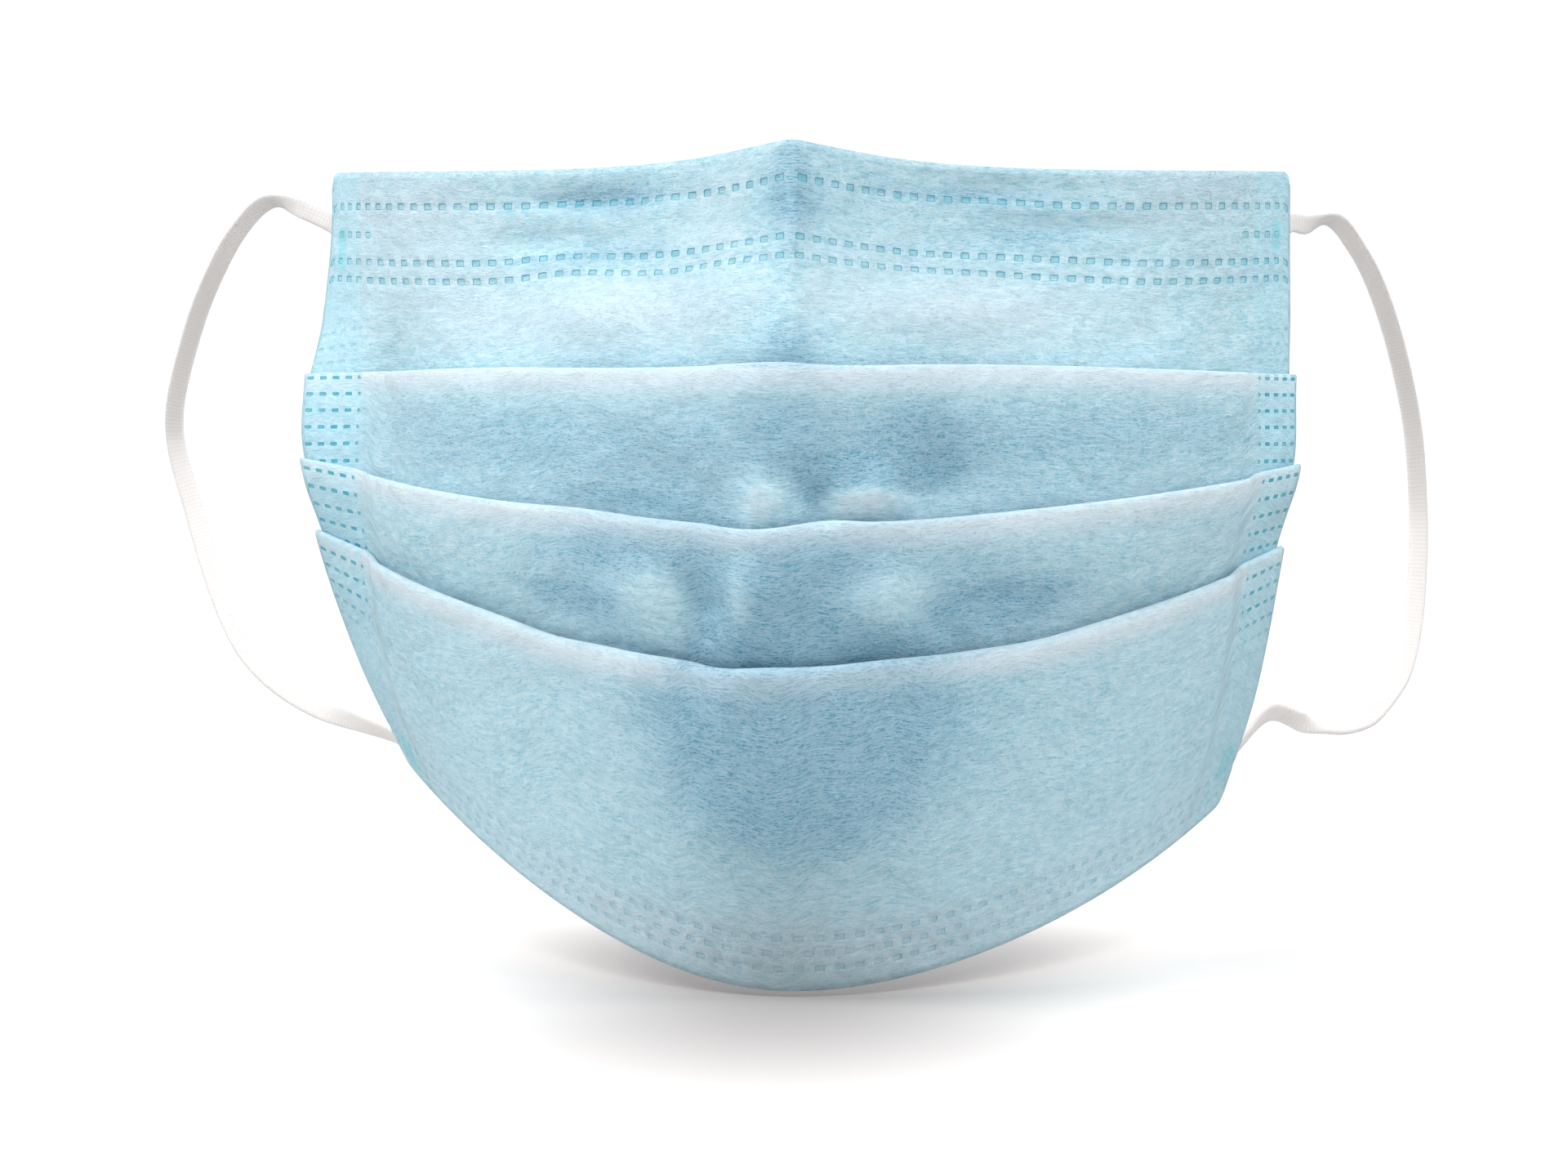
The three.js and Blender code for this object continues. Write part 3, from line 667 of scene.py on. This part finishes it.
def make_loop(name, side, route, lower_weld):
    """One elastic band, from its upper weld along its route to its lower weld."""
    corner = Column([side * TO_SIDE])
    start = corner.place(0, np.array([0.0]), np.array([0.0]))[0]
    upper = welded_end(UPPER_WELD, side, False)
    lower = welded_end(lower_weld, side, True)[::-1]
    level = np.array([-side, 0, 0])
    free = []
    for i, values in enumerate(route):
        place = dict(zip(ROUTE_COLUMNS, values))
        out, back = side * LOOP_SPREAD * place["out"], LOOP_REACH * place["back"]
        reach = np.array([out, back, -LOOP_HEIGHT * place["down"]])
        nearer = upper[-1][1] if i < len(route) / 2 else lower[0][1]
        free.append((start + reach, lerp(nearer, level, place["turned"])))
    stations = upper + free + lower
    points, widths = curve_through([p for p, _ in stations], [w for _, w in stations])
    used = lengths(points)
    steps = int(used[-1] / (RIB_PITCH / 2))
    along = np.linspace(0, used[-1], steps + 1)
    at = np.stack([np.interp(along, used, points[:, axis]) for axis in range(3)], 1)
    width = np.stack([np.interp(along, used, widths[:, axis]) for axis in range(3)], 1)
    tangent = np.gradient(at, axis=0)
    tangent /= np.linalg.norm(tangent, axis=1, keepdims=True)
    normal = np.cross(tangent, width)
    normal /= np.linalg.norm(normal, axis=1, keepdims=True)
    width = np.cross(normal, tangent)
    section = band_section()
    rib = np.where(np.arange(steps + 1) % 2 == 0, 1.0, 1 - 2 * RIB_DEPTH / BAND_THICKNESS)
    wide = at[:, None] + width[:, None] * section[None, :, :1]
    rings = wide + normal[:, None] * (section[None, :, 1:] * rib[:, None, None])
    count = len(section)
    faces = grid_faces(steps + 1, count).tolist()
    faces.append(tuple(range(count))[::-1])
    faces.append(tuple(steps * count + k for k in range(count)))
    knit = np.stack(np.broadcast_arrays(along[:, None], section[None, :, 0], section[None, :, 1]), -1)
    return new_object(name, rings.reshape(-1, 3), faces, {"knit": knit.reshape(-1, 3)})


class Nodes:
    """Short forms for the nodes of one material."""

    def __init__(self, name):
        self.material = bpy.data.materials.new(name)
        self.material.use_nodes = True
        self.tree = self.material.node_tree
        self.shader = self.tree.nodes["Principled BSDF"]

    def node(self, kind, inputs=(), **settings):
        node = self.tree.nodes.new(kind)
        for key, value in settings.items():
            setattr(node, key, value)
        for key, value in dict(inputs).items():
            self.put(node.inputs[key], value)
        return node

    def put(self, socket, value):
        if isinstance(value, bpy.types.NodeSocket):
            self.tree.links.new(value, socket)
        else:
            socket.default_value = value

    def math(self, operation, *values):
        node = self.tree.nodes.new("ShaderNodeMath")
        node.operation = operation
        for socket, value in zip(node.inputs, values):
            self.put(socket, value)
        return node.outputs[0]

    def joined(self, operation, values):
        """One value from many, such as their MAXIMUM."""
        total = values[0]
        for value in values[1:]:
            total = self.math(operation, total, value)
        return total

    def plus(self, *values):
        return self.joined("ADD", values)

    def times(self, *values):
        return self.joined("MULTIPLY", values)

    def minus(self, a, b):
        return self.math("SUBTRACT", a, b)

    def apart(self, a, b):
        """How far two values lie apart."""
        return self.math("ABSOLUTE", self.minus(a, b))

    def length(self, vector):
        return self.node("ShaderNodeVectorMath", {0: vector}, operation="LENGTH").outputs["Value"]

    def vector(self, operation, a, b):
        node = self.tree.nodes.new("ShaderNodeVectorMath")
        node.operation = operation
        self.put(node.inputs[0], a)
        self.put(node.inputs[1], b)
        return node.outputs[0]

    def parts(self, attribute):
        source = self.node("ShaderNodeAttribute", attribute_name=attribute).outputs["Vector"]
        split = self.node("ShaderNodeSeparateXYZ", {0: source})
        return source, split.outputs[0], split.outputs[1], split.outputs[2]

    def ramp(self, value, low, high):
        """0 below low and 1 above high, smoothly. low may lie above high."""
        first, last = (0.0, 1.0) if low < high else (1.0, 0.0)
        settings = {0: value, 1: min(low, high), 2: max(low, high), 3: first, 4: last}
        return self.node("ShaderNodeMapRange", settings, interpolation_type="SMOOTHSTEP").outputs[0]

    def noise(self, vector, scale, detail=2.0, rough=0.5, warp=0.0):
        settings = {"Vector": vector, "Scale": scale, "Detail": detail}
        settings |= {"Roughness": rough, "Distortion": warp}
        return self.node("ShaderNodeTexNoise", settings).outputs[0]

    def mix(self, share, a, b):
        node = self.node("ShaderNodeMix", data_type="RGBA", blend_type="MIX")
        self.put(node.inputs[0], share)
        self.put(node.inputs[6], a)
        self.put(node.inputs[7], b)
        return node.outputs[2]

    def turned(self, vector, angle, scale):
        settings = {"Vector": vector, "Rotation": (0, 0, math.radians(angle)), "Scale": scale}
        return self.node("ShaderNodeMapping", settings).outputs[0]

    def finish(self, colour, height, strength, constants):
        """Give the shader its colour, its bump from heights in millimetres, and its constants."""
        bump = self.node("ShaderNodeBump", {"Height": height, "Distance": MM, "Strength": strength})
        self.put(self.shader.inputs["Base Color"], colour)
        self.put(self.shader.inputs["Normal"], bump.outputs[0])
        for key, value in constants.items():
            self.shader.inputs[key].default_value = value
        return self.material


def srgb(colour):
    """A colour given as on a screen, from 0 to 255."""
    screen = np.array(colour) / 255
    linear = np.where(screen <= 0.04045, screen / 12.92, ((screen + 0.055) / 1.055) ** 2.4)
    return (*linear.tolist(), 1.0)


# Colours as on a screen, from 0 to 255.
CLOTH_THIN = (140, 196, 214)
CLOTH_THICK = (189, 221, 231)
CLOTH_CLOUDY = (200, 226, 236)
# A painted highlight.
PAINTED_HIGHLIGHT_COLOUR = (214, 217, 223)
# Painted shade, mottled.
PAINTED_SHADE_COLOUR = (30, 127, 162)
CLOTH_SPECK = (122, 184, 207)
CLOTH_FIBRE = (216, 237, 245)
# The painted highlight along a fold's edge.
CREST_HIGHLIGHT_COLOUR = (219, 230, 237)
SIDE_BAND = (176, 224, 240)
DOT_COLOUR = (64, 168, 190)
PATCH_COLOUR = (118, 212, 222)
INSIDE_THIN = (226, 233, 238)
INSIDE_THICK = (244, 247, 249)
INSIDE_FIBRE = (252, 253, 254)
ELASTIC = (220, 217, 215)
# Painted shade in the grooves between the elastic's ribs.
RIB_GROOVE_SHADE = (202, 198, 196)
ELASTIC_YARN = (210, 206, 204)
# Painted shade in the grooves between the elastic's wales.
WALE_GROOVE_SHADE = (206, 202, 200)

# Sets of fibres: the angle they run at, their length and spacing in millimetres, and a shift that parts the
# sets. A fibre is drawn where its noise lies within FIBRE_LINE of the middle.
FIBRE_COLUMNS = ("angle", "length", "spacing", "shift")
FIBRES = [
    (0, 4.0, 0.36, 0.0),
    (14, 3.5, 0.36, 31.0),
    (-17, 3.5, 0.36, 57.0),
    (60, 2.0, 0.45, 83.0),
]
FIBRE_LINE = 0.06
FIBRE_SHARE = 0.4

# Curled fibres close up into rings, this many to a millimetre.
CURL_SCALE = 1.2
CURL_LINE = 0.11
CURL_STRENGTH = 0.8

# How soft the edges of the printed marks are, in millimetres, and how strong their colour and dent are.
DOT_BLUR = 0.12
DOT_MIDDLE = 0.65  # a dot's middle is paler than its rim by this share
BOTTOM_DOT_STRENGTH = 0.45
DENT_DEPTH = 0.12
PATCH_BLUR = 0.6
PATCH_STRENGTH = 0.45
BAND_BLUR = 0.3
BAND_STRENGTH = 0.35

# Broad waves of the cloth, which only bend the light: their height in millimetres, and the noise's scale.
WAVE_HEIGHT = 2.4
WAVE_SCALE = 0.13


def fibres(n, flat):
    """Thin hair-like lines, most of them running across the sheet. 1 on a fibre."""
    lines = []
    for values in FIBRES:
        fibre = dict(zip(FIBRE_COLUMNS, values))
        shifted = n.vector("ADD", flat, (fibre["shift"], fibre["shift"] * 0.7, 0))
        turned = n.turned(shifted, fibre["angle"], (1 / fibre["length"], 1 / fibre["spacing"], 1))
        level = n.noise(turned, 1.0, 1.5, 0.6, 0.35)
        lines.append(n.ramp(n.apart(level, 0.5), FIBRE_LINE, 0.0))
    drift = n.node("ShaderNodeTexNoise", {"Vector": flat, "Scale": 0.8, "Detail": 2.0}).outputs[1]
    settings = {"Vector": n.vector("ADD", flat, drift), "Scale": CURL_SCALE}
    edge = n.node("ShaderNodeTexVoronoi", settings, feature="DISTANCE_TO_EDGE").outputs["Distance"]
    curls = n.times(n.ramp(edge, CURL_LINE, 0.0), CURL_STRENGTH)
    return n.joined("MAXIMUM", [*lines, curls])


def box_distance(n, sideways, updown, half_wide, half_tall, blur):
    """Distance from a box that is smaller by blur all round, given distances from its middle."""
    x = n.math("MAXIMUM", n.minus(sideways, half_wide - blur), 0.0)
    y = n.math("MAXIMUM", n.minus(updown, half_tall - blur), 0.0)
    return n.math("SQRT", n.plus(n.times(x, x), n.times(y, y)))


def cell_share(n, value, pitch, shift=0.0):
    """Distance from the middle of the repeat that a value lies in, as a share of the pitch."""
    return n.apart(n.math("FRACT", n.plus(n.math("DIVIDE", value, pitch), shift)), 0.5)


def cell_distance(n, value, pitch, shift=0.0):
    return n.times(cell_share(n, value, pitch, shift), pitch)


def row_distance(n, value, rows):
    """Distance from the nearest of some rows."""
    return n.joined("MINIMUM", [n.apart(value, row) for row in rows])


def weld_marks(n, across, cloth, from_bottom, phase, dashed, band):
    """The embossed dots and dashes: how strong their colour is, and how deep they are."""
    out = n.math("ABSOLUTE", across)
    in_line = cell_distance(n, across, DOT_PITCH)
    staggered = cell_distance(n, across, DOT_PITCH, 0.5)
    dash_across = cell_distance(n, n.minus(TO_SIDE, out), DASH_PITCH)
    dash_down = cell_distance(n, phase, DASH_ROW_PITCH, 0.5)
    in_band = n.times(band, n.ramp(phase, *DASH_ROWS_FROM), dashed)
    in_seal = n.times(n.ramp(out, SEAL_FROM, SEAL_FROM + 1), n.ramp(out, SEAL_TO + 1, SEAL_TO))
    dot = (DOT_WIDE / 2, DOT_TALL / 2)
    dash = (DASH_WIDE / 2, DASH_TALL / 2)
    upper, middle, lower = BOTTOM_DOT_ROWS
    kinds = [
        (in_line, row_distance(n, cloth, TOP_DOT_ROWS), dot, DOT_MIDDLE, 1.0),
        (in_line, row_distance(n, from_bottom, (upper, lower)), dot, DOT_MIDDLE, BOTTOM_DOT_STRENGTH),
        (staggered, row_distance(n, from_bottom, (middle,)), dot, DOT_MIDDLE, BOTTOM_DOT_STRENGTH),
        (dash_across, dash_down, dash, 0.0, in_band),
        (in_line, row_distance(n, cloth, (SEAL_ROW,)), dot, DOT_MIDDLE, in_seal),
    ]
    rims, dents = [], []
    for sideways, updown, size, paler, strength in kinds:
        far = box_distance(n, sideways, updown, *size, DOT_BLUR)
        whole = n.times(n.ramp(far, DOT_BLUR + 0.08, DOT_BLUR - 0.02), strength)
        rims.append(n.times(whole, n.minus(1.0, n.times(n.ramp(far, DOT_BLUR / 2, 0.0), paler))))
        dents.append(whole)
    return n.joined("MAXIMUM", rims), n.joined("MAXIMUM", dents)


def patch_marks(n, across, cloth, from_bottom):
    """1 where a loop's weld presses through to the front."""
    made = []
    for values in PATCHES:
        patch = dict(zip(PATCH_COLUMNS, values))
        level = cloth if patch["down"] > 0 else from_bottom
        sideways, updown = n.apart(across, patch["across"]), n.apart(level, abs(patch["down"]))
        far = box_distance(n, sideways, updown, patch["wide"], patch["tall"], PATCH_BLUR)
        made.append(n.ramp(far, PATCH_BLUR * 1.5, PATCH_BLUR / 2))
    return n.joined("MAXIMUM", made)


def cloth_colour(n, flat, crest_highlight, painted_light, clumps, fine, line):
    """The front's colour without its marks, as layers over one another, with painted shade and painted
    highlights among them.
    """
    speck = n.ramp(fine, 0.6, 0.36)
    cloudy = n.times(n.ramp(n.noise(flat, 0.06), 0.35, 0.65), 0.25)
    # pale is a painted highlight, and dark is painted shade, mottled by the specks.
    pale = n.times(n.math("MAXIMUM", n.times(painted_light, -1.0), 0.0), 0.9)
    dark = n.times(n.ramp(painted_light, -0.05, 0.95), n.plus(0.66, n.times(speck, 0.34)))
    # crest is a painted highlight along each fold's edge, weaker where painted shade lies.
    crest = n.times(crest_highlight, n.minus(0.8, n.times(n.ramp(painted_light, 0.2, 1.0), 0.45)))
    colour = n.mix(n.ramp(clumps, 0.36, 0.66), srgb(CLOTH_THIN), srgb(CLOTH_THICK))
    colour = n.mix(cloudy, colour, srgb(CLOTH_CLOUDY))
    colour = n.mix(pale, colour, srgb(PAINTED_HIGHLIGHT_COLOUR))
    colour = n.mix(dark, colour, srgb(PAINTED_SHADE_COLOUR))
    colour = n.mix(n.times(speck, 0.3), colour, srgb(CLOTH_SPECK))
    colour = n.mix(n.times(line, FIBRE_SHARE), colour, srgb(CLOTH_FIBRE))
    return n.mix(crest, colour, srgb(CREST_HIGHLIGHT_COLOUR))


def cloth_material():
    """Blue bonded cloth on the front, with its weld marks, and white cloth inside."""
    n = Nodes("bonded_cloth_finish")
    flat, across, cloth, inside = n.parts("flat")
    # marks: the distance from the bottom edge, the painted highlight along the folds' edges, and the painted
    # shade and painted highlight.
    _, from_bottom, crest_highlight, painted_light = n.parts("marks")
    _, phase, dashed, _ = n.parts("dashes")
    outside = n.minus(1.0, inside)
    line = fibres(n, flat)
    clumps = n.noise(n.turned(flat, 5, (0.5, 1.1, 1)), 1.0, 4.0, 0.65, 0.6)
    fine = n.noise(n.turned(flat, 0, (2.2, 5.0, 1)), 1.0, 3.0, 0.6, 0.3)
    band_start = TO_SIDE - SIDE_WELD
    band = n.ramp(n.math("ABSOLUTE", across), band_start - BAND_BLUR, band_start + BAND_BLUR)
    rims, dents = weld_marks(n, across, cloth, from_bottom, phase, dashed, band)
    worn = n.plus(0.7, n.times(n.ramp(n.noise(flat, 0.12), 0.3, 0.65), 0.3))
    patches = patch_marks(n, across, cloth, from_bottom)

    front = cloth_colour(n, flat, crest_highlight, painted_light, clumps, fine, line)
    front = n.mix(n.times(band, BAND_STRENGTH), front, srgb(SIDE_BAND))
    front = n.mix(n.times(rims, outside, worn), front, srgb(DOT_COLOUR))
    front = n.mix(n.times(patches, outside, PATCH_STRENGTH), front, srgb(PATCH_COLOUR))
    white = n.mix(n.ramp(clumps, 0.36, 0.66), srgb(INSIDE_THIN), srgb(INSIDE_THICK))
    white = n.mix(n.times(line, FIBRE_SHARE), white, srgb(INSIDE_FIBRE))

    waves = n.times(n.noise(flat, WAVE_SCALE), WAVE_HEIGHT)
    height = n.plus(n.times(line, 0.05), n.times(fine, 0.1), n.times(clumps, 0.18), waves)
    height = n.minus(height, n.times(dents, outside, DENT_DEPTH))
    constants = {"Roughness": 0.8, "Specular IOR Level": 0.15, "Sheen Weight": 0.08, "Sheen Roughness": 0.5}
    return n.finish(n.mix(inside, front, white), height, 0.8, constants)


def band_material():
    """Off-white knitted elastic, with ribs across it and wales along it, and painted shade in the grooves
    between them.
    """
    n = Nodes("elastic_band_finish")
    knit, along, across, _ = n.parts("knit")
    wale = cell_share(n, across, WALE_PITCH)
    rib = cell_share(n, along, RIB_PITCH)
    yarn = n.noise(n.turned(knit, 0, (1.2, 6.0, 2.0)), 1.0, 3.0, 0.6)
    # Painted shade in the grooves between ribs and between wales, where the bump lies lowest.
    colour = n.mix(n.times(n.ramp(rib, 0.2, 0.05), 0.5), srgb(ELASTIC), srgb(RIB_GROOVE_SHADE))
    colour = n.mix(n.times(n.ramp(yarn, 0.6, 0.35), 0.3), colour, srgb(ELASTIC_YARN))
    colour = n.mix(n.times(n.ramp(wale, 0.12, 0.0), 0.2), colour, srgb(WALE_GROOVE_SHADE))
    height = n.plus(n.times(rib, 0.08), n.times(wale, 0.08), n.times(yarn, 0.06))
    soft = {"Subsurface Weight": 0.7, "Subsurface Radius": (1, 1, 1), "Subsurface Scale": 2 * MM}
    constants = soft | {"Roughness": 0.75, "Specular IOR Level": 0.3, "Sheen Weight": 0.2}
    return n.finish(colour, height, 0.35, constants)


# The camera stands before the mask, a little to its left and above its middle.
CAMERA_AIM = (-1.0, 0.0, -51.0)
CAMERA_DISTANCE = 590.0
CAMERA_AZIMUTH = 3.0
CAMERA_ELEVATION = 4.0
CAMERA_LENS = 100.0
CAMERA_SENSOR = 36.0
CAMERA_NEAR = 10.0


def direction(azimuth, elevation):
    """The way from the mask to what stands at that azimuth and elevation, in degrees."""
    a, e = math.radians(azimuth), math.radians(elevation)
    return Vector((math.sin(a) * math.cos(e), -math.cos(a) * math.cos(e), math.sin(e)))


def make_camera():
    data = bpy.data.cameras.new("camera")
    data.lens = CAMERA_LENS
    data.sensor_width = CAMERA_SENSOR
    data.clip_start = CAMERA_NEAR * MM
    camera = bpy.data.objects.new("camera", data)
    bpy.context.scene.collection.objects.link(camera)
    aim = Vector(CAMERA_AIM) * MM
    towards = direction(CAMERA_AZIMUTH, CAMERA_ELEVATION)
    camera.location = aim + towards * CAMERA_DISTANCE * MM
    camera.rotation_euler = (-towards).to_track_quat("-Z", "Y").to_euler()
    bpy.context.scene.camera = camera


# Where the lights stand, in degrees and metres round the aim, and their size in metres.
LIGHT_AIM = (0, 0.03, -0.05)
LIGHT_COLUMNS = ("name", "azimuth", "elevation", "distance", "size", "watts")
LIGHTS = [
    ("left_softbox", -66, 44, 0.7, (0.4, 0.4), 3.9),
    ("right_softbox", 62, 44, 0.7, (0.4, 0.4), 3.0),
    ("front_fill", 0, -12, 0.7, (0.6, 0.3), 1.4),
    ("left_back_softbox", -140, 25, 0.9, (0.8, 0.6), 3.5),
    ("right_back_softbox", 140, 25, 0.9, (0.8, 0.6), 3.5),
    ("top_softbox", 0, 75, 0.8, (0.8, 0.6), 1.7),
]


def make_lights():
    for values in LIGHTS:
        row = dict(zip(LIGHT_COLUMNS, values))
        data = bpy.data.lights.new(row["name"], "AREA")
        data.shape = "RECTANGLE"
        data.size, data.size_y = row["size"]
        data.energy = row["watts"]
        light = bpy.data.objects.new(row["name"], data)
        bpy.context.scene.collection.objects.link(light)
        towards = direction(row["azimuth"], row["elevation"])
        light.location = Vector(LIGHT_AIM) + towards * row["distance"]
        light.rotation_euler = (-towards).to_track_quat("-Z", "Y").to_euler()
        light.visible_camera = False


# The white room lights the mask less than the camera sees it.
ROOM_LIGHT = 0.23
ROOM_SEEN = 1.1


def make_world():
    world = bpy.data.worlds.new("white_room")
    world.use_nodes = True
    tree = world.node_tree
    dim = tree.nodes["Background"]
    dim.inputs["Color"].default_value = (1, 1, 1, 1)
    dim.inputs["Strength"].default_value = ROOM_LIGHT
    bright = tree.nodes.new("ShaderNodeBackground")
    bright.inputs["Color"].default_value = (1, 1, 1, 1)
    bright.inputs["Strength"].default_value = ROOM_SEEN
    seen = tree.nodes.new("ShaderNodeLightPath")
    mixed = tree.nodes.new("ShaderNodeMixShader")
    tree.links.new(seen.outputs["Is Camera Ray"], mixed.inputs[0])
    tree.links.new(dim.outputs[0], mixed.inputs[1])
    tree.links.new(bright.outputs[0], mixed.inputs[2])
    tree.links.new(mixed.outputs[0], tree.nodes["World Output"].inputs["Surface"])
    bpy.context.scene.world = world
    bpy.context.scene.view_settings.view_transform = "Standard"


FLOOR_GAP = 0.8
FLOOR_RADIUS = 900.0
FLOOR_SIDES = 96
FLOOR_CLEAR = 50.0
FLOOR_FADED = 180.0
FLOOR_COLOUR = (0.86, 0.84, 0.83, 1)

# The soft shadow under the chin is drawn on the floor too: where its middle lies along Y, its half width and
# half length, and how dark it is.
SHADOW_MIDDLE = -14.0
SHADOW_WIDE = 60.0
SHADOW_LONG = 105.0
SHADOW_DEPTH = 0.56
SHADOW_COLOUR = (0.05, 0.03, 0.03, 1)


def make_floor(lowest):
    """A pale floor just under the chin, which fades into the white room."""
    turn = np.linspace(0, 2 * math.pi, FLOOR_SIDES, endpoint=False)
    rim = np.stack([np.cos(turn) * FLOOR_RADIUS, np.sin(turn) * FLOOR_RADIUS, 0 * turn], 1)
    piece = new_object("floor", rim, [tuple(range(FLOOR_SIDES))], {})
    piece.location = (0, 0, lowest - FLOOR_GAP * MM)
    n = Nodes("floor_finish")
    n.shader.inputs["Roughness"].default_value = 0.9
    n.shader.inputs["Specular IOR Level"].default_value = 0.0
    place = n.node("ShaderNodeTexCoord").outputs["Object"]
    moved = n.vector("SUBTRACT", place, (0, SHADOW_MIDDLE * MM, 0))
    off = n.length(n.vector("DIVIDE", moved, (SHADOW_WIDE * MM, SHADOW_LONG * MM, 1)))
    shadow = n.times(n.ramp(off, 1.0, 0.0), SHADOW_DEPTH)
    n.put(n.shader.inputs["Base Color"], n.mix(shadow, FLOOR_COLOUR, SHADOW_COLOUR))
    n.put(n.shader.inputs["Alpha"], n.ramp(n.length(place), FLOOR_FADED * MM, FLOOR_CLEAR * MM))
    piece.data.materials.append(n.material)
    piece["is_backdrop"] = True


make_camera()
make_world()
make_lights()

sheet = make_sheet()
sheet.data.materials.append(cloth_material())
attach(sheet, "root")
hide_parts("pleated_sheet")

band = band_material()
LOOPS = (("left", -1, LEFT_ROUTE, LEFT_LOWER_WELD), ("right", 1, RIGHT_ROUTE, RIGHT_LOWER_WELD))
for loop_name, loop_side, loop_route, loop_weld in LOOPS:
    loop = make_loop(f"{loop_name}_ear_band", loop_side, loop_route, loop_weld)
    loop.data.materials.append(band)
    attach(loop, "root")
    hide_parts(f"ear_loop_{loop_name}")

make_floor(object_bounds()[0][2])

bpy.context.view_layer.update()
